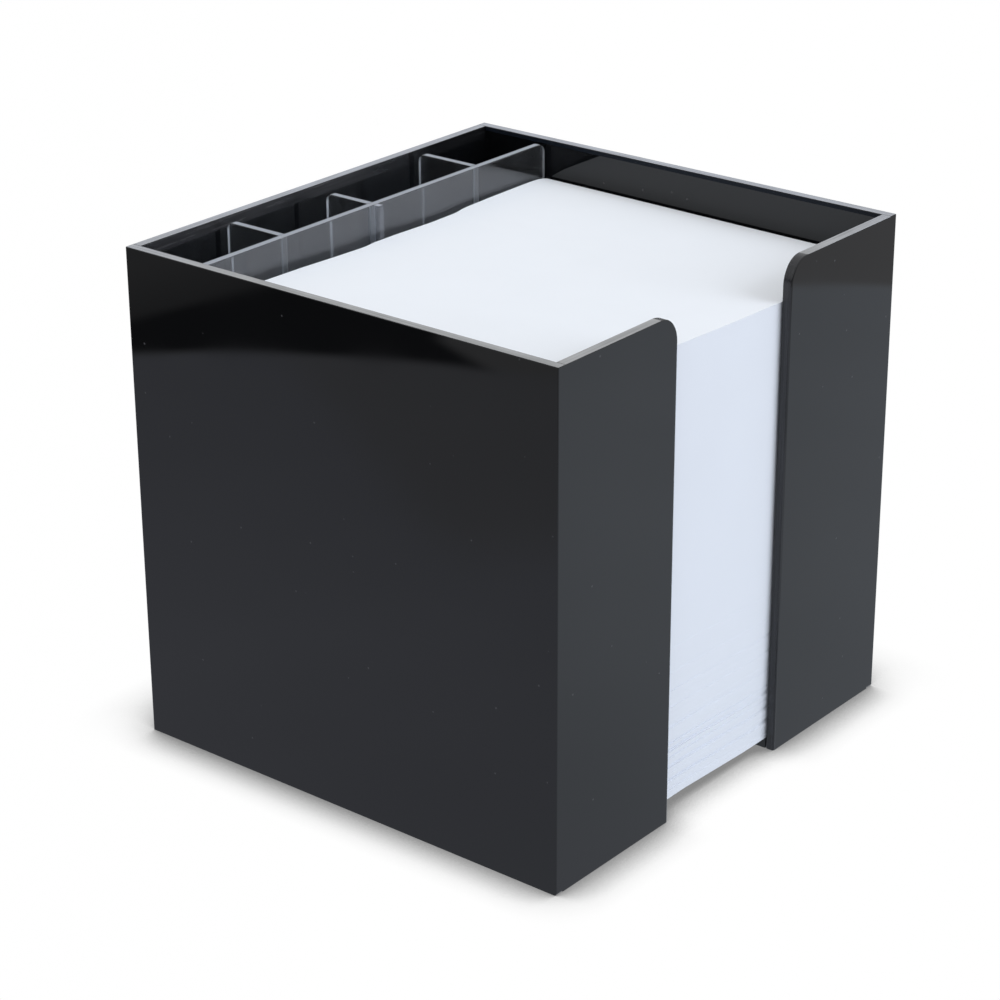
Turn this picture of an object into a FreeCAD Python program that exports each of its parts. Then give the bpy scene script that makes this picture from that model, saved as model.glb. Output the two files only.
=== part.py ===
import FreeCAD, Part
import os
import Sketcher
from FreeCAD import Vector

# A box for loose memo sheets, with pen and clip cells behind the paper.
# Millimetres, +Z up. The origin is at the centre of the underside, the slotted front faces -Y.

os.makedirs("parts", exist_ok=True)
doc = FreeCAD.newDocument("memo_box")

driving_dimensions = [
    # black box
    ("box_height", 100.0, "height of the box"),
    ("inner_width", 100.0, "clear width between the side panels"),
    ("bay_depth", 80.1, "paper bay, from the cheeks to the partition"),
    ("cell_depth", 15.0, "pen cells, from the partition to the back panel"),
    ("black_sheet", 2.0, "thickness of the black sheet"),
    ("slot_width", 35.0, "slot between the two front cheeks"),
    ("slot_offset", 0.9, "slot's middle to the left of the box's middle"),
    ("cheek_radius", 5.0, "round at the top of each cheek, beside the slot"),
    ("cutout_reach", 32.0, "finger cut-out in the floor, back from the front face"),
    # clear insert
    ("clear_sheet", 1.5, "thickness of the clear sheet"),
    ("rim_drop", 0.4, "top of the insert below the rim"),
    ("left_play", 0.3, "partition's left end to the side panel"),
    ("right_play", 1.0, "partition's right end to the side panel"),
    ("partition_radius", 2.0, "round on the partition's right-hand top corner"),
    ("first_cell", 20.9, "left side panel to the left divider"),
    ("second_cell", 23.3, "left divider to the middle divider"),
    ("third_cell", 29.8, "middle divider to the right divider"),
    ("left_divider_length", 13.4, "front to back"),
    ("middle_divider_length", 13.7, "front to back, nose included"),
    ("right_divider_length", 13.8, "front to back"),
    ("divider_nose", 1.5, "middle divider's stand-out on the paper side"),
    ("divider_radius", 1.5, "round on each divider's rear top corner"),
    ("halving_play", 0.05, "clearance on each face of the halving joint"),
    # paper
    ("paper_play", 0.3, "paper to the walls and to the middle divider's nose"),
    ("rim_to_stack", 8.5, "stack's right-hand end below the rim"),
    ("leaf_thickness", 0.12, "one sheet"),
    ("leaf_gap", 0.3, "air under the top sheet"),
    ("left_curl", 2.4, "rise of the stack's left-hand end over its right-hand one"),
    ("middle_curl", 0.8, "rise half-way between them"),
]

sizes = doc.addObject("Spreadsheet::Sheet", "sizes")
for row, (alias, size, note) in enumerate(driving_dimensions, start=1):
    sizes.set(f"A{row}", note)
    sizes.set(f"B{row}", str(size))
    sizes.setAlias(f"B{row}", alias)
doc.recompute()

# Sizes and places that follow from the driving ones, as expressions for the features below.
inner_depth = "(sizes.bay_depth + sizes.clear_sheet + sizes.cell_depth)"
outer_width = "(sizes.inner_width + 2 * sizes.black_sheet)"
outer_depth = f"({inner_depth} + 2 * sizes.black_sheet)"
inner_left = "(-sizes.inner_width / 2)"
inner_right = "(sizes.inner_width / 2)"
inner_front = f"(-{inner_depth} / 2)"
inner_back = f"({inner_depth} / 2)"
outer_left = f"({inner_left} - sizes.black_sheet)"
outer_front = f"({inner_front} - sizes.black_sheet)"
floor_top = "(sizes.black_sheet)"
left_cheek_width = "((sizes.inner_width - sizes.slot_width) / 2 - sizes.slot_offset)"
right_cheek_width = "((sizes.inner_width - sizes.slot_width) / 2 + sizes.slot_offset)"
slot_right = "(sizes.slot_width / 2 - sizes.slot_offset)"

partition_width = "(sizes.inner_width - sizes.left_play - sizes.right_play)"
partition_front = f"({inner_front} + sizes.bay_depth)"
partition_back = f"({partition_front} + sizes.clear_sheet)"
insert_height = "(sizes.box_height - sizes.black_sheet - sizes.rim_drop)"
halving_height = f"({insert_height} / 2)"
halving_width = "(sizes.clear_sheet + 2 * sizes.halving_play)"
left_divider_x = f"({inner_left} + sizes.first_cell)"
middle_divider_x = f"({left_divider_x} + sizes.clear_sheet + sizes.second_cell)"
right_divider_x = f"({middle_divider_x} + sizes.clear_sheet + sizes.third_cell)"
middle_divider_front = f"({partition_front} - sizes.divider_nose)"

paper_width = "(sizes.inner_width - 2 * sizes.paper_play)"
paper_depth = "(sizes.bay_depth - sizes.divider_nose - 2 * sizes.paper_play)"
paper_left = f"({inner_left} + sizes.paper_play)"
paper_front = f"({inner_front} + sizes.paper_play)"
stack_height = "(sizes.box_height - sizes.black_sheet - sizes.rim_to_stack)"


def value(expression):
    """The number that an expression gives for the sizes in the sheet."""
    return float(sizes.evalExpression(expression))


def new_body(label, x, y, z):
    """A body whose own origin stands at x, y, z."""
    body = doc.addObject("PartDesign::Body", label)
    body.Label = label
    for axis, expression in zip("xyz", (x, y, z)):
        body.setExpression(f"Placement.Base.{axis}", expression)
    return body


def new_sketch(body, name, plane):
    """A sketch on one of the body's own origin planes."""
    sketch = body.newObject("Sketcher::SketchObject", f"{body.Name}_{name}")
    support = next(f for f in body.Origin.OriginFeatures if f.Role == plane)
    sketch.AttachmentSupport = [(support, "")]
    sketch.MapMode = "FlatFace"
    return sketch


def bind(sketch, constraint, name, expression):
    """Adds a constraint whose size is an expression."""
    index = sketch.addConstraint(constraint)
    sketch.renameConstraint(index, name)
    sketch.setExpression(f"Constraints.{name}", expression)


def add_loop(sketch, edges):
    """Adds edges that follow one another, and joins the ends that meet into a closed loop."""
    for edge in edges:
        sketch.addGeometry(edge, False)
    for index in range(len(edges)):
        after = (index + 1) % len(edges)
        pairs = [(end, start) for end in (1, 2) for start in (1, 2)]
        gaps = [
            sketch.getPoint(index, end).distanceToPoint(sketch.getPoint(after, start))
            for end, start in pairs
        ]
        end, start = pairs[gaps.index(min(gaps))]
        sketch.addConstraint(Sketcher.Constraint("Coincident", index, end, after, start))


def add_rectangle(sketch, left, bottom, width, height):
    """A rectangle whose lower left corner and two sides are expressions."""
    x, y, w, h = (value(e) for e in (left, bottom, width, height))
    corners = [Vector(x, y, 0), Vector(x + w, y, 0), Vector(x + w, y + h, 0), Vector(x, y + h, 0)]
    ends = corners[1:] + corners[:1]
    add_loop(sketch, [Part.LineSegment(a, b) for a, b in zip(corners, ends)])
    for side, kind in enumerate(["Horizontal", "Vertical", "Horizontal", "Vertical"]):
        sketch.addConstraint(Sketcher.Constraint(kind, side))
    bind(sketch, Sketcher.Constraint("DistanceX", -1, 1, 0, 1, x), "left", left)
    bind(sketch, Sketcher.Constraint("DistanceY", -1, 1, 0, 1, y), "bottom", bottom)
    bind(sketch, Sketcher.Constraint("DistanceX", 0, 1, 0, 2, w), "width", width)
    bind(sketch, Sketcher.Constraint("DistanceY", 1, 1, 1, 2, h), "height", height)


def add_plate(label, plane, width, height, thickness, place):
    """A flat sheet cut to width by height, its thickness along +X, +Y or +Z."""
    body = new_body(label, *place)
    sketch = new_sketch(body, "outline", plane)
    add_rectangle(sketch, "0", "0", width, height)
    pad = body.newObject("PartDesign::Pad", f"{label}_sheet")
    pad.Profile = sketch
    pad.Reversed = plane == "XZ_Plane"  # that plane's normal points to -Y
    pad.setExpression("Length", thickness)
    sketch.Visibility = False
    doc.recompute()
    return body


def cut_through(body, sketch, name):
    """Cuts a sketch right through the body."""
    before = body.Shape.Volume
    pocket = body.newObject("PartDesign::Pocket", f"{body.Name}_{name}")
    pocket.Profile = sketch
    pocket.Type = "ThroughAll"
    pocket.Midplane = True
    sketch.Visibility = False
    doc.recompute()
    if not body.Shape.Volume < before:
        raise RuntimeError(f"{pocket.Name} cuts nothing")


def round_corner(body, radius, places):
    """Rounds the edge along the sheet's thickness that has the two given coordinates."""
    solid = body.Shape
    to_local = body.Placement.inverse()
    names = []
    for index, edge in enumerate(solid.Edges, start=1):
        centre = to_local.multVec(edge.CenterOfMass)
        if all(abs(getattr(centre, axis) - value(at)) < 1e-6 for axis, at in places.items()):
            names.append(f"Edge{index}")
    if len(names) != 1:
        raise RuntimeError(f"{body.Label} has {len(names)} edges at the corner to round")
    rounded = body.Tip
    fillet = body.newObject("PartDesign::Fillet", f"{body.Name}_round")
    fillet.Base = (rounded, names)
    fillet.setExpression("Radius", radius)
    doc.recompute()


def build_floor():
    """The floor lies inside the walls. Its U-shaped cut-out carries on from the front slot."""
    place = (inner_left, inner_front, "0")
    body = add_plate(
        "floor_panel", "XY_Plane", "sizes.inner_width", inner_depth, "sizes.black_sheet", place
    )
    half = value("sizes.slot_width / 2")
    middle = value(left_cheek_width) + half
    reach = value("sizes.cutout_reach - sizes.black_sheet")
    bend = reach - half
    left, right = middle - half, middle + half
    sketch = new_sketch(body, "cutout", "XY_Plane")
    round_end = Part.Arc(Vector(right, bend, 0), Vector(middle, reach, 0), Vector(left, bend, 0))
    add_loop(
        sketch,
        [
            Part.LineSegment(Vector(left, 0, 0), Vector(right, 0, 0)),
            Part.LineSegment(Vector(right, 0, 0), Vector(right, bend, 0)),
            round_end,
            Part.LineSegment(Vector(left, bend, 0), Vector(left, 0, 0)),
        ],
    )
    sketch.addConstraint(Sketcher.Constraint("PointOnObject", 0, 1, -1))
    sketch.addConstraint(Sketcher.Constraint("Horizontal", 0))
    sketch.addConstraint(Sketcher.Constraint("Vertical", 1))
    sketch.addConstraint(Sketcher.Constraint("Vertical", 3))
    sketch.addConstraint(Sketcher.Constraint("Horizontal", 1, 2, 2, 3))
    sketch.addConstraint(Sketcher.Constraint("Horizontal", 1, 2, 3, 1))
    bind(sketch, Sketcher.Constraint("DistanceX", -1, 1, 0, 1, left), "left", left_cheek_width)
    bind(sketch, Sketcher.Constraint("DistanceX", 0, 1, 0, 2, 2 * half), "width", "sizes.slot_width")
    bend_expression = "sizes.cutout_reach - sizes.black_sheet - sizes.slot_width / 2"
    bind(sketch, Sketcher.Constraint("DistanceY", 1, 1, 1, 2, bend), "straight", bend_expression)
    cut_through(body, sketch, "finger_cutout")
    return body


def build_walls():
    """Side panels run the full depth. The back panel and the two cheeks stand between them."""
    walls = []
    for label, x in (("left_side_panel", outer_left), ("right_side_panel", inner_right)):
        place = (x, outer_front, "0")
        walls.append(
            add_plate(label, "YZ_Plane", outer_depth, "sizes.box_height", "sizes.black_sheet", place)
        )
    walls.append(
        add_plate(
            "back_panel",
            "XZ_Plane",
            "sizes.inner_width",
            "sizes.box_height",
            "sizes.black_sheet",
            (inner_left, inner_back, "0"),
        )
    )
    for label, x, width, slot_side in (
        ("front_left_cheek", inner_left, left_cheek_width, left_cheek_width),
        ("front_right_cheek", slot_right, right_cheek_width, "0"),
    ):
        cheek = add_plate(
            label,
            "XZ_Plane",
            width,
            "sizes.box_height",
            "sizes.black_sheet",
            (x, outer_front, "0"),
        )
        round_corner(cheek, "sizes.cheek_radius", {"x": slot_side, "z": "sizes.box_height"})
        walls.append(cheek)
    return walls


def build_partition():
    """The long clear sheet. Its halving slot is open at the top."""
    place = (f"{inner_left} + sizes.left_play", partition_front, floor_top)
    body = add_plate(
        "partition", "XZ_Plane", partition_width, insert_height, "sizes.clear_sheet", place
    )
    slot_left = f"{middle_divider_x} - {inner_left} - sizes.left_play - sizes.halving_play"
    sketch = new_sketch(body, "slot", "XZ_Plane")
    add_rectangle(sketch, slot_left, halving_height, halving_width, halving_height)
    cut_through(body, sketch, "halving")
    round_corner(body, "sizes.partition_radius", {"x": partition_width, "z": insert_height})
    return body


def build_dividers():
    """Three short clear sheets. The middle one is halved through the partition from above."""
    dividers = []
    for label, x, y, length in (
        ("left_divider", left_divider_x, partition_back, "sizes.left_divider_length"),
        ("middle_divider", middle_divider_x, middle_divider_front, "sizes.middle_divider_length"),
        ("right_divider", right_divider_x, partition_back, "sizes.right_divider_length"),
    ):
        body = add_plate(
            label, "YZ_Plane", length, insert_height, "sizes.clear_sheet", (x, y, floor_top)
        )
        if label == "middle_divider":
            sketch = new_sketch(body, "slot", "YZ_Plane")
            slot_front = "sizes.divider_nose - sizes.halving_play"
            add_rectangle(sketch, slot_front, "0", halving_width, halving_height)
            cut_through(body, sketch, "halving")
        round_corner(body, "sizes.divider_radius", {"y": length, "z": insert_height})
        dividers.append(body)
    return dividers


def add_profile(body, lower, upper):
    """A section across the paper, between two edges that each have a left, middle and right height."""
    sketch = new_sketch(body, "profile", "XZ_Plane")
    stations = ("0", f"{paper_width} / 2", paper_width)
    edges = [[Vector(value(x), value(z), 0) for x, z in zip(stations, e)] for e in (lower, upper)]
    (low_left, low_middle, low_right), (top_left, top_middle, top_right) = edges
    flat = lower[0] == lower[1] == lower[2]
    add_loop(
        sketch,
        [
            Part.LineSegment(low_left, low_right) if flat else Part.Arc(low_left, low_middle, low_right),
            Part.LineSegment(low_right, top_right),
            Part.Arc(top_right, top_middle, top_left),
            Part.LineSegment(top_left, low_left),
        ],
    )
    sketch.addConstraint(Sketcher.Constraint("Vertical", 1))
    sketch.addConstraint(Sketcher.Constraint("PointOnObject", 3, 1, -2))
    sketch.addConstraint(Sketcher.Constraint("PointOnObject", 3, 2, -2))
    bind(sketch, Sketcher.Constraint("DistanceX", -1, 1, 1, 1, low_right.x), "width", paper_width)
    for name, line, end, point, height in (
        ("low_left", 3, 2, low_left, lower[0]),
        ("low_right", 1, 1, low_right, lower[2]),
        ("top_left", 3, 1, top_left, upper[0]),
        ("top_right", 1, 2, top_right, upper[2]),
    ):
        bind(sketch, Sketcher.Constraint("DistanceY", -1, 1, line, end, point.y), name, height)
    for name, arc, point, height in (
        ("low_middle", 0, low_middle, lower[1]),
        ("top_middle", 2, top_middle, upper[1]),
    ):
        if flat and arc == 0:
            continue
        mark = sketch.addGeometry(Part.Point(point), True)
        sketch.addConstraint(Sketcher.Constraint("PointOnObject", mark, 1, arc))
        bind(sketch, Sketcher.Constraint("DistanceX", -1, 1, mark, 1, point.x), f"{name}_x", stations[1])
        bind(sketch, Sketcher.Constraint("DistanceY", -1, 1, mark, 1, point.y), name, height)
    return sketch


def build_paper():
    """The stack, as one solid, and the top sheet, which follows the stack's curled top."""
    curl = ("sizes.left_curl", "sizes.middle_curl", "0")
    flat = ("0", "0", "0")
    top_of_stack = [f"{stack_height} + {rise}" for rise in curl]
    under_leaf = [f"{height} + sizes.leaf_gap" for height in top_of_stack]
    over_leaf = [f"{height} + sizes.leaf_thickness" for height in under_leaf]
    paper = []
    for label, lower, upper in (
        ("paper_stack", flat, top_of_stack),
        ("top_sheet", under_leaf, over_leaf),
    ):
        body = new_body(label, paper_left, paper_front, floor_top)
        pad = body.newObject("PartDesign::Pad", f"{label}_leaves")
        pad.Profile = add_profile(body, lower, upper)
        pad.Reversed = True
        pad.setExpression("Length", paper_depth)
        doc.recompute()
        paper.append(body)
    return paper


pieces = [build_floor(), *build_walls(), build_partition(), *build_dividers(), *build_paper()]
doc.recompute()

failed = [o.Name for o in doc.Objects if "Invalid" in o.State or "Error" in o.State]
if failed:
    raise RuntimeError(f"failed objects: {failed}")
for piece in pieces:
    if piece.Shape.isNull() or not piece.Shape.isValid() or len(piece.Shape.Solids) != 1:
        raise RuntimeError(f"{piece.Label} is not one valid solid")
for piece in pieces:
    piece.Shape.exportStep(f"parts/{piece.Label}.step")
    print(f"{piece.Label:18s} {piece.Shape.Volume:10.1f} mm3")
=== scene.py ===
import math
import random

import bmesh
import bpy
from mathutils import Matrix, Vector


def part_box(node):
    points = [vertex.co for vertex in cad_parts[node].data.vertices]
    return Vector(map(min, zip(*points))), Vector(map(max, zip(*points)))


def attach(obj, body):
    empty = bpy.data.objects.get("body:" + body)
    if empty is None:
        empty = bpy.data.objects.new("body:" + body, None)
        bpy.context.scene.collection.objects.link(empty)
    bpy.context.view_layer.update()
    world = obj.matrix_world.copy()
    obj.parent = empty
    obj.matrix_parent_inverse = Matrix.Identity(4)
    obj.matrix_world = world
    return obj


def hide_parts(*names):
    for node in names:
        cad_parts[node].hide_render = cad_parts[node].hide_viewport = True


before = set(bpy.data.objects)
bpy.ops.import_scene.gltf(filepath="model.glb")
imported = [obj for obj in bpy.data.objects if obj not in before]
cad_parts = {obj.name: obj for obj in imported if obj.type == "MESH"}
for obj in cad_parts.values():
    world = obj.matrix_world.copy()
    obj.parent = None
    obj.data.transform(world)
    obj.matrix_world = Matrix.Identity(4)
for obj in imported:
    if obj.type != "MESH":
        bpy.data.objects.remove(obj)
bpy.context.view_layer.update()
mm = 0.001
tiny = 0.001 * mm  # lengths that differ by less are the same


def newMaterial(name):
    material = bpy.data.materials.new(name)
    material.use_nodes = True
    material.node_tree.nodes.clear()
    return material, material.node_tree


def addNode(tree, kind, inputs=None, **settings):
    node = tree.nodes.new(kind)
    for key, value in settings.items():
        setattr(node, key, value)
    for key, value in (inputs or {}).items():
        if isinstance(value, bpy.types.NodeSocket):
            tree.links.new(value, node.inputs[key])
        else:
            node.inputs[key].default_value = value
    return node


def objectPoint(tree, scale=(1, 1, 1)):
    coord = addNode(tree, "ShaderNodeTexCoord")
    mapping = addNode(tree, "ShaderNodeMapping", {"Vector": coord.outputs["Object"], "Scale": scale})
    return mapping.outputs["Vector"]


def axesOf(tree, point):
    return addNode(tree, "ShaderNodeSeparateXYZ", {0: point}).outputs


def noiseOf(tree, vector, scale, detail, roughness=0.5):
    node = addNode(tree, "ShaderNodeTexNoise", {
        "Vector": vector, "Scale": scale, "Detail": detail, "Roughness": roughness,
    })
    return node.outputs["Fac"]


def remap(tree, value, low, high, toLow, toHigh, smooth=False):
    node = addNode(tree, "ShaderNodeMapRange", {
        "Value": value, "From Min": low, "From Max": high, "To Min": toLow, "To Max": toHigh,
    }, interpolation_type="SMOOTHSTEP" if smooth else "LINEAR")
    return node.outputs["Result"]


# 0 before start and 1 past end, eased between them; start may be the larger of the two
def eased(tree, value, start, end):
    return remap(tree, value, start, end, 0, 1, True)


def calc(tree, operation, a, b=0.0):
    return addNode(tree, "ShaderNodeMath", {0: a, 1: b}, operation=operation).outputs[0]


def plus(tree, a, b):
    return calc(tree, "ADD", a, b)


def times(tree, a, b):
    return calc(tree, "MULTIPLY", a, b)


def mixColour(tree, amount, a, b):
    return addNode(tree, "ShaderNodeMix", {0: amount, 6: a, 7: b}, data_type="RGBA").outputs[2]


def mixTone(tree, amount, a, b):
    return addNode(tree, "ShaderNodeMix", {0: amount, 2: a, 3: b}, data_type="FLOAT").outputs[0]


def mixShader(tree, amount, a, b):
    return addNode(tree, "ShaderNodeMixShader", {0: amount, 1: a, 2: b}).outputs[0]


def bumpOf(tree, height, strength, depth):
    node = addNode(tree, "ShaderNodeBump", {"Height": height, "Strength": strength, "Distance": depth})
    return node.outputs["Normal"]


def finishMaterial(tree, shader):
    addNode(tree, "ShaderNodeOutputMaterial", {"Surface": shader})


# 1 on small scattered specks of dust, 0 elsewhere; radius is a share of the spacing
def dustOf(tree, scale, radius, share):
    point = objectPoint(tree)
    cells = addNode(tree, "ShaderNodeTexVoronoi", {"Vector": point, "Scale": scale, "Randomness": 1.0})
    speck = remap(tree, cells.outputs["Distance"], radius * 0.5, radius, 1.0, 0.0)
    pick = addNode(tree, "ShaderNodeSeparateColor", {0: cells.outputs["Color"]}).outputs[0]
    return times(tree, speck, calc(tree, "LESS_THAN", pick, share))


# polished black sheet: nearly black, with faint smears and a few specks of dust
sheetLook = {
    "colour": (0.0032, 0.0035, 0.0042, 1), "ior": 1.49, "roughness": (0.03, 0.07),
    "smearScale": 45, "smearStretch": (1, 1, 0.4), "smearRange": (0.35, 0.7),
    "dust": (0.05, 0.05, 0.054, 1), "dustScale": 210, "dustRadius": 0.055, "dustShare": 0.6,
    "dustRoughness": 0.4, "waveScale": 22, "waveBump": (0.25, 0.4 * mm),
}


def makeGloss():
    look = sheetLook
    material, tree = newMaterial("blackAcrylic")
    smear = noiseOf(tree, objectPoint(tree, look["smearStretch"]), look["smearScale"], 3)
    dust = dustOf(tree, look["dustScale"], look["dustRadius"], look["dustShare"])
    rough = remap(tree, smear, *look["smearRange"], *look["roughness"])
    wave = noiseOf(tree, objectPoint(tree), look["waveScale"], 1)
    shader = addNode(tree, "ShaderNodeBsdfPrincipled", {
        "Base Color": mixColour(tree, dust, look["colour"], look["dust"]),
        "Roughness": plus(tree, rough, times(tree, dust, look["dustRoughness"])),
        "IOR": look["ior"], "Normal": bumpOf(tree, wave, *look["waveBump"]),
    })
    finishMaterial(tree, shader.outputs[0])
    return material


# inner face of the back panel: a streaky, lighter band just under the rim, weaker to the right, is a painted
# reflection of the lit back of the paper
paintedReflectionLook = {
    "colour": (0.036, 0.0355, 0.0385, 1), "roughness": (0.06, 0.3), "specular": 0.43,
    "stretch": (60, 60, 1100), "streakRange": (0.35, 0.62), "strength": (0.45, 1.0),
    "belowRim": (2.8 * mm, 1.8 * mm), "weakening": (0.0, 35 * mm), "rightShare": 0.22,
}


def makePaintedReflection():
    look = paintedReflectionLook
    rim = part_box("back_panel")[1].z
    material, tree = newMaterial("streakyPaintedReflection")
    place = axesOf(tree, objectPoint(tree))
    # painted reflection: a lighter colour in a band under the rim, fading towards the right
    upper = eased(tree, place["Z"], *[rim - depth for depth in look["belowRim"]])
    weaker = remap(tree, place["X"], *look["weakening"], 1.0, look["rightShare"], True)
    streak = noiseOf(tree, objectPoint(tree, look["stretch"]), 1, 3)
    streak = remap(tree, streak, *look["streakRange"], *look["strength"])
    amount = times(tree, streak, times(tree, upper, weaker))
    shader = addNode(tree, "ShaderNodeBsdfPrincipled", {
        "Base Color": mixColour(tree, amount, sheetLook["colour"], look["colour"]),
        "Roughness": remap(tree, amount, 0, 1, *look["roughness"]),
        "IOR": sheetLook["ior"], "Specular IOR Level": look["specular"],
    })
    finishMaterial(tree, shader.outputs[0])
    return material


# dull, darker strip just under the rim on the inner face of the side panels: painted shade for the dark line
# that runs there
lipShadeLook = {
    "colours": ((0.006, 0.009, 0.014, 1), (0.010, 0.013, 0.020, 1)), "roughness": 0.4,
    "specular": 0.12, "stretch": (60, 60, 900),
}


def makeLipShade():
    look = lipShadeLook
    material, tree = newMaterial("dullLipPaintedShade")
    streak = noiseOf(tree, objectPoint(tree, look["stretch"]), 1, 2)
    shader = addNode(tree, "ShaderNodeBsdfPrincipled", {
        "Base Color": mixColour(tree, streak, *look["colours"]), "Roughness": look["roughness"],
        "IOR": sheetLook["ior"], "Specular IOR Level": look["specular"],
    })
    finishMaterial(tree, shader.outputs[0])
    return material


# sawn edge of the black sheet: pale, with fine lines along the cut; paler and bluer to the back as a painted
# sheen of bluish light
sawnLook = {
    "front": ((0.20, 0.202, 0.208, 1), (0.40, 0.405, 0.415, 1)),
    "back": ((0.24, 0.25, 0.28, 1), (0.44, 0.465, 0.53, 1)), "paintedSheenSpan": (-0.04, 0.03),
    "lineScale": 2200, "alongScale": 40, "cloudScale": 120, "cloudShare": 0.3, "toneRange": (0.3, 0.7),
    "roughness": 0.5, "bump": (0.5, 0.08 * mm),
}


def makeSawn(name, along):
    look = sawnLook
    material, tree = newMaterial(name)
    stretch = [look["lineScale"]] * 3
    stretch[along] = look["alongScale"]
    streak = noiseOf(tree, objectPoint(tree, stretch), 1, 3, 0.6)
    cloud = noiseOf(tree, objectPoint(tree), look["cloudScale"], 2)
    tone = plus(tree, times(tree, streak, 1 - look["cloudShare"]), times(tree, cloud, look["cloudShare"]))
    tone = remap(tree, tone, *look["toneRange"], 0, 1)
    place = axesOf(tree, objectPoint(tree))
    # painted sheen: the rims grow paler and bluer towards the back and right, for the bluish light they catch
    # there
    paintedSheen = eased(tree, plus(tree, place["X"], place["Y"]), *look["paintedSheenSpan"])
    shader = addNode(tree, "ShaderNodeBsdfPrincipled", {
        "Base Color": mixColour(
            tree, paintedSheen, mixColour(tree, tone, *look["front"]), mixColour(tree, tone, *look["back"]),
        ),
        "Roughness": look["roughness"], "IOR": sheetLook["ior"],
        "Normal": bumpOf(tree, streak, *look["bump"]),
    })
    finishMaterial(tree, shader.outputs[0])
    return material


# buffed edge beside the finger slot: dark, with fine upright lines
buffedLook = {
    "colours": ((0.004, 0.004, 0.005, 1), (0.022, 0.022, 0.026, 1)), "roughness": 0.2,
    "stretch": (2600, 2600, 60), "streakRange": (0.35, 0.7), "bump": (0.45, 0.05 * mm),
}


def makeBuffed():
    look = buffedLook
    material, tree = newMaterial("buffedEdge")
    streak = noiseOf(tree, objectPoint(tree, look["stretch"]), 1, 3, 0.6)
    tone = remap(tree, streak, *look["streakRange"], 0, 1)
    shader = addNode(tree, "ShaderNodeBsdfPrincipled", {
        "Base Color": mixColour(tree, tone, *look["colours"]), "Roughness": look["roughness"],
        "IOR": sheetLook["ior"], "Normal": bumpOf(tree, streak, *look["bump"]),
    })
    finishMaterial(tree, shader.outputs[0])
    return material


# clear sheet: smeared and wiped, so its polish changes a little from place to place
clearLook = {
    "colour": (0.93, 0.95, 0.98, 1), "ior": 1.56, "transmission": 0.993,
    "specularTint": (0.94, 0.945, 1.0, 1), "passing": (0.90, 0.92, 0.94, 1),
    "smearScale": 90, "wipeStretch": (700, 700, 50), "wipeShare": 0.4, "hazeRange": (0.42, 0.68),
    "roughness": (0.015, 0.16), "waveScale": 30, "waveBump": (0.1, 0.3 * mm),
    "frostRoughness": 0.45, "frostIor": 1.49, "frostScale": 900, "frostBump": (0.5, 0.08 * mm),
}


# lets the lamps' light through a clear sheet, which glass shading alone would block
def finishClear(tree, shader):
    path = addNode(tree, "ShaderNodeLightPath").outputs
    passing = calc(tree, "MAXIMUM", path["Is Shadow Ray"], path["Is Diffuse Ray"])
    through = addNode(tree, "ShaderNodeBsdfTransparent", {"Color": clearLook["passing"]})
    finishMaterial(tree, mixShader(tree, passing, shader.outputs[0], through.outputs[0]))


def makeClear():
    look = clearLook
    material, tree = newMaterial("clearAcrylic")
    smear = noiseOf(tree, objectPoint(tree), look["smearScale"], 3)
    wipe = noiseOf(tree, objectPoint(tree, look["wipeStretch"]), 1, 3)
    haze = plus(tree, times(tree, smear, 1 - look["wipeShare"]), times(tree, wipe, look["wipeShare"]))
    wave = noiseOf(tree, objectPoint(tree), look["waveScale"], 1)
    shader = addNode(tree, "ShaderNodeBsdfPrincipled", {
        "Base Color": look["colour"], "Roughness": remap(tree, haze, *look["hazeRange"], *look["roughness"]),
        "IOR": look["ior"], "Transmission Weight": look["transmission"],
        "Specular Tint": look["specularTint"], "Normal": bumpOf(tree, wave, *look["waveBump"]),
    })
    finishClear(tree, shader)
    return material


# frosted edge of the clear sheet; clearness is the share of light let through
def makeClearEdge(name, colour, clearness):
    look = clearLook
    material, tree = newMaterial(name)
    frost = noiseOf(tree, objectPoint(tree), look["frostScale"], 2)
    shader = addNode(tree, "ShaderNodeBsdfPrincipled", {
        "Base Color": colour, "Roughness": look["frostRoughness"], "IOR": look["frostIor"],
        "Transmission Weight": clearness, "Normal": bumpOf(tree, frost, *look["frostBump"]),
    })
    finishClear(tree, shader)
    return material


lugLook = {
    "through": (0.96, 0.97, 0.985, 1), "milk": (0.52, 0.55, 0.62, 1), "sheen": 0.03, "sheenRoughness": 0.05,
}


# small lug bonded to the clear sheet, where light passes straight on; haze is its milky share
def makeThinClear(name, haze):
    look = lugLook
    material, tree = newMaterial(name)
    through = addNode(tree, "ShaderNodeBsdfTransparent", {"Color": look["through"]})
    milk = addNode(tree, "ShaderNodeBsdfDiffuse", {"Color": look["milk"]})
    body = mixShader(tree, haze, through.outputs[0], milk.outputs[0])
    sheen = addNode(tree, "ShaderNodeBsdfGlossy", {"Roughness": look["sheenRoughness"]})
    finishMaterial(tree, mixShader(tree, look["sheen"], body, sheen.outputs[0]))
    return material


# note paper: white with a cool tint, faintly clouded, with a fine fibre
noteLook = {
    "tint": (0.83, 0.862, 0.925, 1), "cloudTint": (0.81755, 0.84907, 0.911125, 1),
    "cloudScale": 60, "cloudRange": (0.3, 0.7), "fibreScale": 2600, "fibreBump": (0.15, 0.03 * mm),
    "roughness": 0.85, "ior": 1.45, "specular": 0.2,
}


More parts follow.
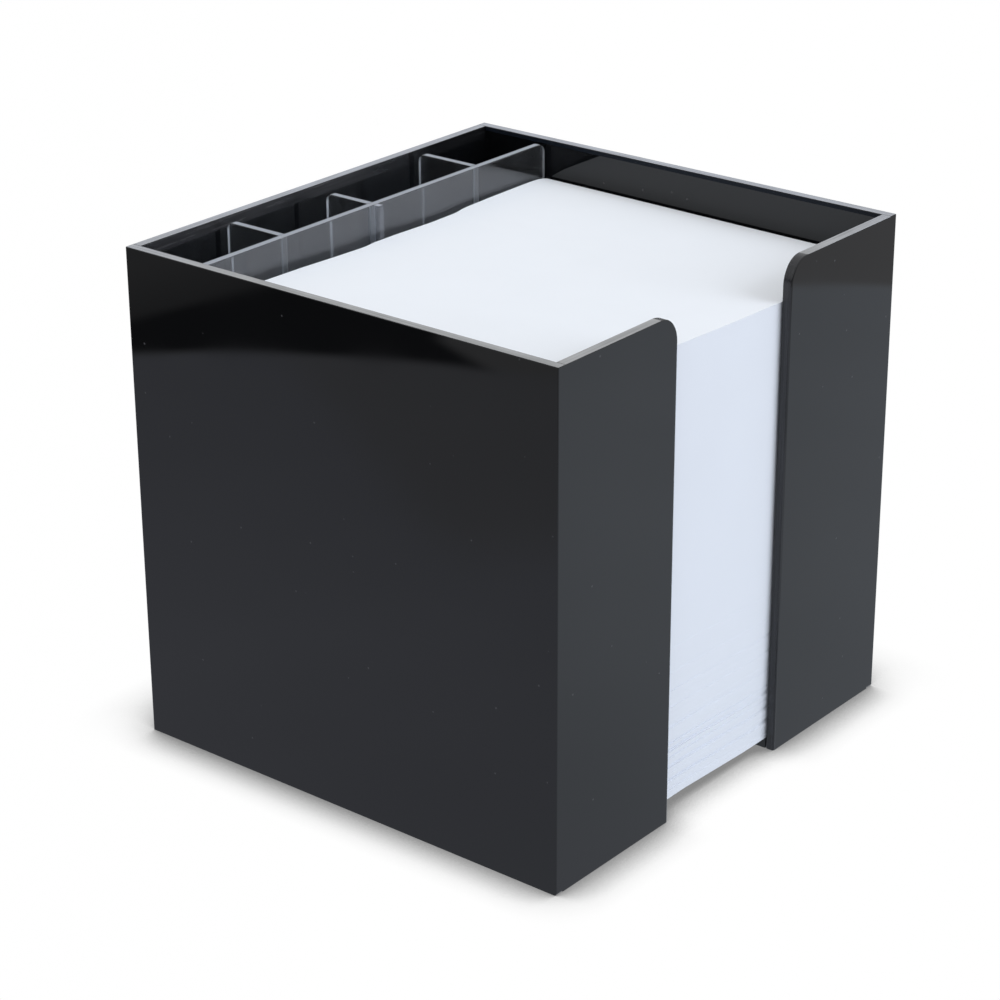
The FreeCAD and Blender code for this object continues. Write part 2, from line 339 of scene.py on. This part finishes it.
def makePaper():
    look = noteLook
    material, tree = newMaterial("notePaper")
    fibre = noiseOf(tree, objectPoint(tree), look["fibreScale"], 3)
    cloud = noiseOf(tree, objectPoint(tree), look["cloudScale"], 2)
    cloud = remap(tree, cloud, *look["cloudRange"], 0, 1)
    shader = addNode(tree, "ShaderNodeBsdfPrincipled", {
        "Base Color": mixColour(tree, cloud, look["tint"], look["cloudTint"]),
        "Roughness": look["roughness"], "IOR": look["ior"], "Specular IOR Level": look["specular"],
        "Normal": bumpOf(tree, fibre, *look["fibreBump"]),
    })
    finishMaterial(tree, shader.outputs[0])
    return material


gloss = makeGloss()
sawnX = makeSawn("sawnEdgeX", 0)
sawnY = makeSawn("sawnEdgeY", 1)
buffed = makeBuffed()
paintedReflection = makePaintedReflection()
lipPaintedShade = makeLipShade()
clear = makeClear()
clearEdge = makeClearEdge("clearEdge", (0.42, 0.455, 0.53, 1), 0.38)
dimEdge = makeClearEdge("clearDimEdge", (0.30, 0.325, 0.375, 1), 0.8)
bondHaze = makeClearEdge("clearBond", (0.10, 0.11, 0.125, 1), 0.93)
lugClear = makeThinClear("clearLug", 0.01)
lugEnd = makeThinClear("clearLugEnd", 0.11)
paperWhite = makePaper()
print("materials made")


def newPiece(name, bm, materials, body, node):
    mesh = bpy.data.meshes.new(name)
    bmesh.ops.dissolve_degenerate(bm, dist=tiny, edges=bm.edges)
    bm.to_mesh(mesh)
    bm.free()
    for material in materials:
        mesh.materials.append(material)
    piece = bpy.data.objects.new(name, mesh)
    bpy.context.scene.collection.objects.link(piece)
    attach(piece, body)
    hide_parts(node)
    return piece


def boxMesh(low, high):
    bm = bmesh.new()
    size = [b - a for a, b in zip(low, high)]
    centre = [(a + b) / 2 for a, b in zip(low, high)]
    bmesh.ops.create_cube(bm, size=1, matrix=Matrix.Translation(centre) @ Matrix.Diagonal((*size, 1)))
    return bm


def near(a, b):
    return abs(a - b) < tiny


def edgesAt(bm, test):
    return [e for e in bm.edges if all(test(v.co) for v in e.verts)]


def isUpright(edge):
    a, b = edge.verts
    return near(a.co.x, b.co.x) and near(a.co.y, b.co.y)


def sharpEdges(bm, degrees=50):
    return [e for e in bm.edges if len(e.link_faces) == 2 and e.calc_face_angle() > math.radians(degrees)]


def bevelEdges(bm, edges, offset, segments):
    return bmesh.ops.bevel(
        bm, geom=edges, offset=offset, segments=segments, profile=0.5, affect="EDGES", material=-1,
    )


# softens the sharp edges that the test lets through, and gives the new strips one material
def softenEdges(bm, width, allowed, strip):
    chosen = [e for e in sharpEdges(bm) if allowed(e)]
    for face in bevelEdges(bm, chosen, width, 2)["faces"]:
        face.material_index = strip


def paintFaces(bm, chooser):
    bm.normal_update()
    for face in bm.faces:
        face.material_index = chooser(face)


def smoothShade(bm):
    for face in bm.faces:
        face.smooth = True


# black box: glossy sheets, sawn rims, buffed edges beside the slot
boxLook = {
    "soften": 0.1 * mm, "cornerSoften": 0.2 * mm, "foot": 0.5 * mm, "footSegments": 4, "lipPaintedShade": 0.9 * mm,
    "cheekRadius": 5 * mm, "cheekSegments": 16,
    # softening of a cheek's edges: the full width beside the slot, and shares of it elsewhere
    "slotSoften": 0.45 * mm, "slotSegments": 3, "flatShare": 0.25, "roundShare": 0.3, "fadePart": 0.5,
}
blackMaterials = [gloss, sawnX, sawnY, buffed, paintedReflection, lipPaintedShade]
glossFace, sawnXFace, sawnYFace, buffedFace, paintedReflectionFace, lipShadeFace = range(len(blackMaterials))


def makeBlackSheet(node, bm):
    return newPiece(node + "_sheet", bm, blackMaterials, "box", node)


def makeSidePanel(node):
    low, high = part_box(node)
    bm = boxMesh(low, high)
    inner = high.x if low.x < 0 else low.x
    # the strip under the rim on the inner face takes the painted shade
    lipFoot = high.z - boxLook["lipPaintedShade"]
    bmesh.ops.bisect_plane(
        bm, geom=bm.verts[:] + bm.edges[:] + bm.faces[:], plane_co=(0, 0, lipFoot), plane_no=(0, 0, 1),
    )

    def chooser(face):
        mid = face.calc_center_median()
        if abs(face.normal.z) > 0.5:
            return sawnYFace
        return lipShadeFace if near(mid.x, inner) and mid.z > lipFoot else glossFace
    paintFaces(bm, chooser)
    foot = edgesAt(bm, lambda p: near(p.y, low.y) and near(p.z, low.z))
    bevelEdges(bm, foot, boxLook["foot"], boxLook["footSegments"])
    # the inner upright edges are seams, glued flush to the cheeks and the back panel
    softenEdges(
        bm, boxLook["cornerSoften"], lambda e: isUpright(e) and not near(e.verts[0].co.x, inner), glossFace,
    )
    softenEdges(bm, boxLook["soften"], lambda e: all(near(v.co.z, high.z) for v in e.verts), glossFace)
    makeBlackSheet(node, bm)


def makeBackPanel(node):
    bm = boxMesh(*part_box(node))

    def chooser(face):
        if abs(face.normal.z) > 0.5:
            return sawnXFace
        return paintedReflectionFace if face.normal.y < -0.5 else glossFace

    def runsAlong(edge):
        a, b = edge.verts
        return not isUpright(edge) and near(a.co.y, b.co.y)
    paintFaces(bm, chooser)
    softenEdges(bm, boxLook["soften"], runsAlong, glossFace)
    makeBlackSheet(node, bm)


def makeCheek(node):
    low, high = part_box(node)
    bm = boxMesh(low, high)
    isLeft = low.x + high.x < 0
    slotX, seamX = (high.x, low.x) if isLeft else (low.x, high.x)
    corner = edgesAt(bm, lambda p: near(p.x, slotX) and near(p.z, high.z))
    bevelEdges(bm, corner, boxLook["cheekRadius"], boxLook["cheekSegments"])
    smoothShade(bm)

    def chooser(face):
        if abs(face.normal.y) > 0.5 or face.normal.z < -0.5:
            return glossFace
        return sawnXFace if face.normal.z > 0.999 else buffedFace
    paintFaces(bm, chooser)
    # full softening beside the slot, fading along the round to a fine edge on the rim
    weight = bm.edges.layers.float.new("bevel_weight_edge")
    for edge in sharpEdges(bm, 60):
        edge.smooth = False
        a, b = edge.verts[0].co, edge.verts[1].co
        if not near(a.y, b.y) or (near(a.x, seamX) and near(b.x, seamX)):
            continue
        mid = (a + b) / 2
        if near(mid.z, low.z) or near(mid.z, high.z):
            edge[weight] = boxLook["flatShare"]
        else:
            fall = min((high.z - mid.z) / (boxLook["cheekRadius"] * boxLook["fadePart"]), 1)
            edge[weight] = boxLook["roundShare"] + (1 - boxLook["roundShare"]) * fall
        edge.smooth = True
    soft = makeBlackSheet(node, bm).modifiers.new("softEdges", "BEVEL")
    soft.limit_method = "WEIGHT"
    soft.width = boxLook["slotSoften"]
    soft.segments = boxLook["slotSegments"]
    soft.harden_normals = True


makeSidePanel("left_side_panel")
makeSidePanel("right_side_panel")
makeBackPanel("back_panel")
makeCheek("front_left_cheek")
makeCheek("front_right_cheek")
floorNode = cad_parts["floor_panel"]
floorNode.data.materials.clear()
floorNode.data.materials.append(gloss)
print("black box made")

# clear insert, solvent-bonded: glossy faces, pale sawn tops and feet, dimmer rounds, rear ends and joints
insertLook = {
    "soften": 0.16 * mm, "jointSoften": 0.208 * mm, "bondGap": 0.02 * mm, "bondReach": 0.3 * mm,
    "topRadius": 1.5 * mm, "partitionRadius": 2 * mm, "roundSegments": 10,
}
clearMaterials = [clear, clearEdge, dimEdge, bondHaze, lugClear, lugEnd]
clearFace, edgeFace, dimFace, bondFace, lugFace, lugEndFace = range(len(clearMaterials))


# bonded names the upright ends glued to another sheet, rounded those with a rounded top corner
def addClearSheet(bm, low, high, axis, bonded, rounded=(), radius=0.0, lug=False):
    part = boxMesh(low, high)
    ends = {"low": low[axis], "high": high[axis]}
    for name in rounded:
        corner = edgesAt(part, lambda p: near(p[axis], ends[name]) and near(p.z, high.z))
        bevelEdges(part, corner, radius, insertLook["roundSegments"])

    def chooser(face):
        if abs(face.normal.z) > 0.995:
            return edgeFace
        if face.normal.z > 0.05:
            return dimFace
        if abs(face.normal[axis]) > 0.9:
            end = "high" if near(face.calc_center_median()[axis], ends["high"]) else "low"
            if end not in bonded:
                return lugEndFace if lug else dimFace
            return lugFace if lug else bondFace
        return lugFace if lug else clearFace
    paintFaces(part, chooser)
    for name in [] if lug else bonded:
        joint = [e for e in edgesAt(part, lambda p: near(p[axis], ends[name])) if isUpright(e)]
        for face in bevelEdges(part, joint, insertLook["jointSoften"], 2)["faces"]:
            face.material_index = dimFace

    def isFree(edge):
        reach = insertLook["bondReach"]
        return not any(all(abs(v.co[axis] - ends[name]) < reach for v in edge.verts) for name in bonded)
    softenEdges(part, insertLook["soften"], isFree, lugFace if lug else clearFace)
    mesh = bpy.data.meshes.new("part")
    part.to_mesh(mesh)
    part.free()
    bm.from_mesh(mesh)
    bpy.data.meshes.remove(mesh)


def makeClearPiece(node, bm):
    newPiece(node + "_clear", bm, clearMaterials, "divider_insert", node)


wallLow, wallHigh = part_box("partition")
bm = bmesh.new()
addClearSheet(bm, wallLow, wallHigh, 0, ["low"], ["high"], insertLook["partitionRadius"])
makeClearPiece("partition", bm)
for node in ("left_divider", "middle_divider", "right_divider"):
    low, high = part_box(node)
    bm = bmesh.new()
    start = Vector((low.x, wallHigh.y + insertLook["bondGap"], low.z))
    addClearSheet(bm, start, high, 1, ["low"], ["high"], insertLook["topRadius"])
    if node == "middle_divider":
        end = Vector((high.x, wallLow.y - insertLook["bondGap"], high.z))
        addClearSheet(bm, low, end, 1, ["high"], lug=True)
    makeClearPiece(node, bm)
print("clear insert made")

# paper, in millimetres: frontEdge and backEdge give the top sheet's height from left to right
paperLook = {
    "left": -49.7, "right": 49.2, "front": -48.1, "back": 30.05, "bottom": 2.0, "floorGap": 0.02,
    "leaves": 370, "stackHeight": 89.6, "fill": 0.99, "sheet": 0.12, "sheetGap": 0.01,
    "frontEdge": [(-49.7, 94.6), (-33, 93.75), (-14.8, 92.81), (-8.6, 92.53), (-2.5, 92.28), (3.8, 92.05),
                  (10.1, 91.88), (17.9, 91.70), (24, 91.62), (35, 91.58), (49.7, 91.5)],
    "backEdge": [(-49.7, 93.7), (-37, 93.6), (-27, 93.4), (-16, 93.0), (-9, 92.8), (-6, 93.0), (0, 92.9),
                 (11, 92.5), (19, 92.45), (21.5, 92.8), (30, 92.85), (40, 92.8), (47, 92.7), (49.7, 92.5)],
    "ease": 0.4, "dent": {"x": 17.6, "y": -45.6, "radius": 2.2, "depth": 0.2},
    "rightCurl": {"from": 44.0, "width": 5.2, "drop": 0.45, "frontShare": 0.3},
    "footLift": {"middle": 0.35, "slope": 0.037, "reach": 14.0, "fade": 4.0},
    "skewFrom": -4.0, "skew": 1.35, "backShare": 0.15, "cheekGap": 0.18,
    # looseness of the lower part, and the share of it that the tight part keeps
    "loosePart": 0.32, "tightShare": 0.05, "groupSizes": (2, 7), "groupBacks": (0.0, 0.0, 0.03, 0.06, -0.03),
    "groupTurn": 0.0035, "leafShift": 0.12, "leafBack": (-0.04, 0.06), "leafTurn": 0.0006,
    # low bands of sheets that lie back (or, where negative, forward) of the rest: from, to, by
    "bands": [(1.2, 2.2, 0.18), (3.2, 4.4, 0.42), (4.4, 5.3, -0.10), (6.1, 7.2, 0.50), (7.2, 7.9, -0.12),
              (8.2, 9.0, 0.30), (9.5, 10.6, 0.50), (11.1, 11.9, 0.30), (14.5, 15.5, 0.34), (18.8, 19.5, 0.16),
              (22.2, 22.9, 0.18), (26.0, 26.7, 0.10), (31.0, 31.7, 0.07)],
    "bandBack": 0.75, "bandSwing": 0.0143, "bandShift": 28.0,
    "fineFrom": 0.97, "fineGrid": (30, 12), "plainGrid": (10, 2), "topGrid": (70, 48),
}
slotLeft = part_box("front_left_cheek")[1].x
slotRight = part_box("front_right_cheek")[0].x


# height on a line of (place, height) points
def heightAlong(points, x):
    for (x0, z0), (x1, z1) in zip(points, points[1:]):
        if x <= x1:
            t = min(max((x - x0) / (x1 - x0), 0), 1)
            return z0 + (z1 - z0) * t
    return points[-1][1]


# how far back a point lies, from 0 at the front edge to 1 at the back edge
def backward(y):
    return (y - paperLook["front"]) / (paperLook["back"] - paperLook["front"])


def topHeight(x, y):
    look, dent, curl = paperLook, paperLook["dent"], paperLook["rightCurl"]
    v = backward(y)
    v = v * v * (3 - 2 * v) * look["ease"] + v * (1 - look["ease"])
    height = (1 - v) * heightAlong(look["frontEdge"], x) + v * heightAlong(look["backEdge"], x)
    drop = curl["drop"] * (curl["frontShare"] + (1 - curl["frontShare"]) * v)
    height -= drop * (max(x - curl["from"], 0) / curl["width"]) ** 2
    away = ((x - dent["x"]) ** 2 + (y - dent["y"]) ** 2) / dent["radius"] ** 2
    return height - dent["depth"] * math.exp(-away)


# the lowest sheets rise a little towards the left of the finger slot
def bottomHeight(x, y):
    look, lift = paperLook, paperLook["footLift"]
    forward = max(0.0, 1 - (y - look["front"]) / lift["reach"]) ** 2
    inSlot = min(max(min(x - slotLeft / mm, slotRight / mm - x) / lift["fade"] + 1, 0), 1)
    rise = max(lift["middle"] - lift["slope"] * x, 0)
    return look["bottom"] + look["floorGap"] + forward * inSlot * rise


def skewed(x, y):
    look = paperLook
    share = max(0.0, (x - look["skewFrom"]) / (look["right"] - look["skewFrom"]))
    return y + look["skew"] * share * backward(y)


# one sheet; level is its place in the stack, from 0 at the bottom to 1 under the top sheet
def addLeaf(bm, grid, level, thickness, dx=0.0, dy=0.0, turn=0.0, rest=0.0):
    look = paperLook
    midX, midY = (look["left"] + look["right"]) / 2, (look["front"] + look["back"]) / 2
    lower = bmesh.ops.create_grid(bm, x_segments=grid[0], y_segments=grid[1], size=0.5)["verts"]
    faces = list({f for v in lower for f in v.link_faces})
    raised = bmesh.ops.extrude_face_region(bm, geom=faces)["geom"]
    upper = {v for v in raised if isinstance(v, bmesh.types.BMVert)}
    for vert in list(lower) + list(upper):
        x = midX + vert.co.x * (look["right"] - look["left"])
        y = midY + vert.co.y * (look["back"] - look["front"])
        # the sheets differ along their fronts and lie nearly square at the back
        uneven = 1 - (1 - look["backShare"]) * (vert.co.y + 0.5)
        low, high = bottomHeight(x, y), topHeight(x, y) - look["sheet"] - look["sheetGap"]
        z = low + level * (high - low) + rest
        y = skewed(x, y)
        x, y = x + dx - turn * (y - midY), y + uneven * (dy + turn * (x - midX))
        vert.co = Vector((x * mm, y * mm, (z + (thickness if vert in upper else 0)) * mm))


# how far the bands push back a sheet that lies at this height above the floor panel
def bandAt(height):
    return sum(back * math.sin(math.pi * (height - low) / (high - low))
               for low, high, back in paperLook["bands"] if low <= height < high)


def makeStack():
    look = paperLook
    rng = random.Random(7)
    bm = bmesh.new()
    pitch = 1.0 / look["leaves"]
    frontHeight = topHeight(0, look["front"]) - look["bottom"]
    left, groupBack, groupTurn = 0, 0.0, 0.0
    for i in range(look["leaves"]):
        level = i * pitch
        loose = max(1.0 - level / look["loosePart"], look["tightShare"])
        # the loose lower sheets lie in small groups, some of them set back a little
        if left == 0:
            left = rng.randint(*look["groupSizes"])
            groupBack = rng.choice(look["groupBacks"]) * loose
            groupTurn = rng.uniform(-look["groupTurn"], look["groupTurn"]) * loose
        left -= 1
        # a band lies back at the left of the slot and comes forward again to its right
        band = bandAt(level * frontHeight)
        swing = look["bandSwing"] * band
        dx = rng.uniform(-look["leafShift"], look["leafShift"]) * loose + look["bandShift"] * abs(swing)
        dy = groupBack + look["bandBack"] * band + rng.uniform(*look["leafBack"]) * loose
        turn = groupTurn - swing + rng.uniform(-look["leafTurn"], look["leafTurn"]) * loose
        # no corner reaches into a cheek
        dy = max(dy, abs(turn) * look["right"] - look["cheekGap"])
        grid = look["fineGrid"] if level > look["fineFrom"] else look["plainGrid"]
        addLeaf(bm, grid, level, look["stackHeight"] * pitch * look["fill"], dx, dy, turn)
    bmesh.ops.recalc_face_normals(bm, faces=bm.faces)
    newPiece("note_leaves", bm, [paperWhite], "paper_stack", "paper_stack")


def makeTopSheet():
    bm = bmesh.new()
    addLeaf(bm, paperLook["topGrid"], 1.0, paperLook["sheet"], rest=paperLook["sheetGap"])
    bmesh.ops.recalc_face_normals(bm, faces=bm.faces)
    bm.normal_update()
    smoothShade(bm)
    for edge in sharpEdges(bm, 40):
        edge.smooth = False
    newPiece("loose_leaf", bm, [paperWhite], "top_sheet", "top_sheet")


makeStack()
makeTopSheet()
print("paper made")

# stage: the camera sees a white floor with a soft contact shadow, and all other rays meet a grey table
# with a dim room beyond its rim, which the gloss mirrors; "across" is x - y, from back left to front right
floorLook = {
    "size": 6.0, "shadowReach": 0.0105, "backReach": 0.018, "behind": (-0.012, 0.014),
    "slotSides": (0.012, 0.020), "slotFront": (-0.040, -0.047), "slotLight": 0.11,
    "leftDim": (-0.07, -0.02), "leftDepth": -0.022,
    "shadow": [(0.48, 0.24), (0.50, 0.305), (0.571, 0.386), (0.639, 0.491), (0.706, 0.604),
               (0.770, 0.737), (0.831, 0.847), (0.887, 0.93), (0.937, 0.973), (0.98, 1.0)],
}
# lines on the floor are given as nx, ny and offset, pairs of places as start and end
tableLook = {
    "across": (-0.3, 0.2), "tones": (0.46, 0.70), "cloudScale": 14, "cloudRange": (0.3, 0.7),
    "clouds": (0.97, 1.03),
    "paintedShadeNearBox": (0.06, 0.12), "nearTone": 0.88,
    "rightLine": (0.57, 0.82, 0), "rightEdge": (-0.066, -0.035), "rightAcross": (0.0, 0.06),
    "rightTone": 0.91,
    "patchLine": (-0.857, -0.514, 0.104), "patchEdge": (-0.012, 0.008), "patchAcross": (-0.18, -0.24),
    "patchTone": 0.905, "patchGrey": 0.5,
    "leftTint": (0.945, 0.98, 1.12, 1), "frontTint": (0.938, 1.012, 1.115, 1), "tintAcross": (-0.05, 0.05),
}
roomLook = {
    "rimCentre": (-0.039, 0.0538, 0), "rim": (0.2158, 0.2238), "rimAcross": (-0.10, -0.22),
    "wallLine": (-0.2, 0.98, 0.2625), "wallEdge": (-0.004, 0.004), "wallRise": (0, 0.04),
    "crescentTone": 0.035, "wallTones": (0.145, 0.225),
    "cornerLine": (-0.952, -0.306, 0.1978), "cornerEdge": (-0.003, 0.003), "cornerEnd": (0.155, 0.145),
    "cornerTone": 0.38, "aheadEdge": (0.314, 0.321), "aheadAcross": (0.0, 0.1), "aheadTone": 0.68,
    "tint": (1, 1, 1.02, 1),
}


# signed distance past a straight line on the floor, x * nx + y * ny - offset
def pastLine(tree, place, nx, ny, offset):
    part = plus(tree, times(tree, place["X"], nx), times(tree, place["Y"], ny))
    return calc(tree, "SUBTRACT", part, offset)


def distanceFrom(tree, point, centre):
    return addNode(tree, "ShaderNodeVectorMath", {0: point, 1: centre}, operation="DISTANCE").outputs["Value"]


# what the camera sees: white, with the contact shadow
def floorShade(tree, place, across):
    look = floorLook
    close, wide = [addNode(tree, "ShaderNodeAmbientOcclusion", {"Distance": reach}, samples=8).outputs["AO"]
                   for reach in (look["shadowReach"], look["backReach"])]
    # the shadow spreads wider behind the box, and light comes through the finger slot
    behind = eased(tree, plus(tree, place["X"], place["Y"]), *look["behind"])
    slotPlace = calc(tree, "ABSOLUTE", calc(tree, "SUBTRACT", place["X"], (slotLeft + slotRight) / 2))
    slotLight = times(tree, remap(tree, slotPlace, *look["slotSides"], look["slotLight"], 0, True),
                      eased(tree, place["Y"], *look["slotFront"]))
    openness = plus(tree, mixTone(tree, behind, close, wide), slotLight)
    openness = plus(tree, openness, remap(tree, across, *look["leftDim"], look["leftDepth"], 0))
    shade = addNode(tree, "ShaderNodeValToRGB", {0: openness})
    ramp = shade.color_ramp
    while len(ramp.elements) < len(look["shadow"]):
        ramp.elements.new(0.5)
    for element, (position, tone) in zip(ramp.elements, look["shadow"]):
        element.position = position
        element.color = (tone, tone, tone, 1)
    return shade.outputs["Color"]


# the table, with a slightly darker, greyer patch towards the far left; gives its tone and the patch
def tableTone(tree, point, place, across):
    look = tableLook
    cloud = noiseOf(tree, point, look["cloudScale"], 2)
    cloud = remap(tree, cloud, *look["cloudRange"], *look["clouds"])
    table = times(tree, remap(tree, across, *look["across"], *look["tones"]), cloud)
    rightward = times(tree, remap(tree, pastLine(tree, place, *look["rightLine"]), *look["rightEdge"], 0, 1),
                      remap(tree, across, *look["rightAcross"], 0, 1))
    # painted shade: close to the box the mirrored table is darker
    paintedShadeNearBox = remap(tree, distanceFrom(tree, point, (0, 0, 0)), *look["paintedShadeNearBox"], look["nearTone"], 1.0, True)
    table = times(tree, table, mixTone(tree, rightward, paintedShadeNearBox, look["rightTone"]))
    patch = times(tree, eased(tree, pastLine(tree, place, *look["patchLine"]), *look["patchEdge"]),
                  eased(tree, across, *look["patchAcross"]))
    return times(tree, table, remap(tree, patch, 0, 1, 1.0, look["patchTone"])), patch


# past the table's rim on the left: a dark crescent, then a dim wall and a paler corner
def wallTone(tree, place):
    look = roomLook
    beyond = pastLine(tree, place, *look["wallLine"])
    wall = remap(tree, beyond, *look["wallRise"], *look["wallTones"])
    wall = mixTone(tree, eased(tree, beyond, *look["wallEdge"]), look["crescentTone"], wall)
    corner = times(tree, eased(tree, pastLine(tree, place, *look["cornerLine"]), *look["cornerEdge"]),
                   eased(tree, place["Y"], *look["cornerEnd"]))
    return mixTone(tree, corner, wall, look["cornerTone"])


# what the gloss mirrors: the table, the room past its rim on the left and a dimmer floor past its front
def mirroredColour(tree, point, place, across):
    room = roomLook
    table, patch = tableTone(tree, point, place, across)
    onLeft = times(tree, eased(tree, distanceFrom(tree, point, room["rimCentre"]), *room["rim"]),
                   eased(tree, across, *room["rimAcross"]))
    ahead = times(tree, eased(tree, distanceFrom(tree, point, (0, 0, 0)), *room["aheadEdge"]),
                  eased(tree, across, *room["aheadAcross"]))
    front = times(tree, table, remap(tree, ahead, 0, 1, 1.0, room["aheadTone"]))
    tone = mixTone(tree, onLeft, front, wallTone(tree, place))
    grey = calc(tree, "MAXIMUM", times(tree, patch, tableLook["patchGrey"]), onLeft)
    grey = calc(tree, "MAXIMUM", grey, ahead)
    tint = mixColour(tree, remap(tree, across, *tableLook["tintAcross"], 0, 1),
                     tableLook["leftTint"], tableLook["frontTint"])
    tint = mixColour(tree, grey, tint, room["tint"])
    tinted = addNode(tree, "ShaderNodeVectorMath", {0: tint, "Scale": tone}, operation="SCALE")
    return tinted.outputs["Vector"]


def makeFloor():
    material, tree = newMaterial("paleFloor")
    point = objectPoint(tree)
    place = axesOf(tree, point)
    across = calc(tree, "SUBTRACT", place["X"], place["Y"])
    seen = addNode(tree, "ShaderNodeEmission", {"Color": floorShade(tree, place, across)})
    mirrored = addNode(tree, "ShaderNodeEmission", {"Color": mirroredColour(tree, point, place, across)})
    path = addNode(tree, "ShaderNodeLightPath").outputs
    finishMaterial(tree, mixShader(tree, path["Is Camera Ray"], mirrored.outputs[0], seen.outputs[0]))
    bm = bmesh.new()
    bmesh.ops.create_grid(bm, x_segments=1, y_segments=1, size=floorLook["size"] / 2)
    mesh = bpy.data.meshes.new("floorMesh")
    bm.to_mesh(mesh)
    bm.free()
    mesh.materials.append(material)
    floor = bpy.data.objects.new("stage_floor", mesh)
    bpy.context.scene.collection.objects.link(floor)


# plain light all round; gloss and clear sheet meet a wall that grows paler with height
worldLook = {
    "colour": (0.96, 0.98, 1.0, 1), "strength": 0.55, "wallHeights": (0.0, 0.35), "wallTones": (0.12, 0.95),
}


def makeWorld():
    look = worldLook
    world = bpy.data.worlds.new("studio")
    bpy.context.scene.world = world
    world.use_nodes = True
    tree = world.node_tree
    tree.nodes.clear()
    path = addNode(tree, "ShaderNodeLightPath").outputs
    height = axesOf(tree, addNode(tree, "ShaderNodeTexCoord").outputs["Generated"])["Z"]
    wall = remap(tree, height, *look["wallHeights"], *look["wallTones"], True)

    def glow(colour, strength):
        return addNode(tree, "ShaderNodeBackground", {"Color": colour, "Strength": strength}).outputs[0]
    lit, gleam = glow(look["colour"], look["strength"]), glow(look["colour"], wall)
    seen = glow((1, 1, 1, 1), 1.0)
    shown = mixShader(tree, path["Is Glossy Ray"], lit, gleam)
    shown = mixShader(tree, path["Is Transmission Ray"], shown, gleam)
    shown = mixShader(tree, path["Is Camera Ray"], shown, seen)
    addNode(tree, "ShaderNodeOutputWorld", {"Surface": shown})


lampLook = {
    "overhead": {"place": (-0.1, 0.05, 0.75), "target": (0, 0, 0.08), "size": 0.7, "power": 1.19,
                 "colour": (1.0, 0.973, 0.885)},
    "back": {"place": (-0.05, 0.62, 0.60), "target": (0, 0, 0.08), "size": 0.45, "power": 1.6,
             "colour": (1.0, 0.98, 0.93)},
    "front": {"place": (0.25, -0.75, 0.45), "target": (0, 0, 0.05), "size": 0.6, "power": 3.44,
              "colour": (0.885, 0.928, 1.0)},
}


def makeLamp(name, place, target, size, power, colour):
    lamp = bpy.data.lights.new(name, "AREA")
    lamp.shape = "SQUARE"
    lamp.size = size
    lamp.energy = power
    lamp.color = colour
    holder = bpy.data.objects.new(name, lamp)
    bpy.context.scene.collection.objects.link(holder)
    holder.location = place
    holder.visible_glossy = False
    holder.rotation_euler = (Vector(target) - Vector(place)).to_track_quat("-Z", "Y").to_euler()


cameraLook = {
    "lens": 102.93, "sensor": 36, "place": (-0.39649, -0.31746, 0.26639),
    "ahead": (0.71190623, 0.5777227, -0.39928185), "up": (0.31287291, 0.24809996, 0.91681893),
}


def makeCamera():
    look = cameraLook
    camera = bpy.data.cameras.new("camera")
    camera.lens = look["lens"]
    camera.sensor_width = look["sensor"]
    holder = bpy.data.objects.new("camera", camera)
    bpy.context.scene.collection.objects.link(holder)
    ahead = Vector(look["ahead"]).normalized()
    right = ahead.cross(Vector(look["up"])).normalized()
    stand = Matrix((right, right.cross(ahead), -ahead)).transposed().to_4x4()
    stand.translation = look["place"]
    holder.matrix_world = stand
    bpy.context.scene.camera = holder


makeFloor()
makeWorld()
for name, look in lampLook.items():
    makeLamp(name, **look)
makeCamera()
bpy.context.scene.view_settings.view_transform = "Standard"
print("stage made")
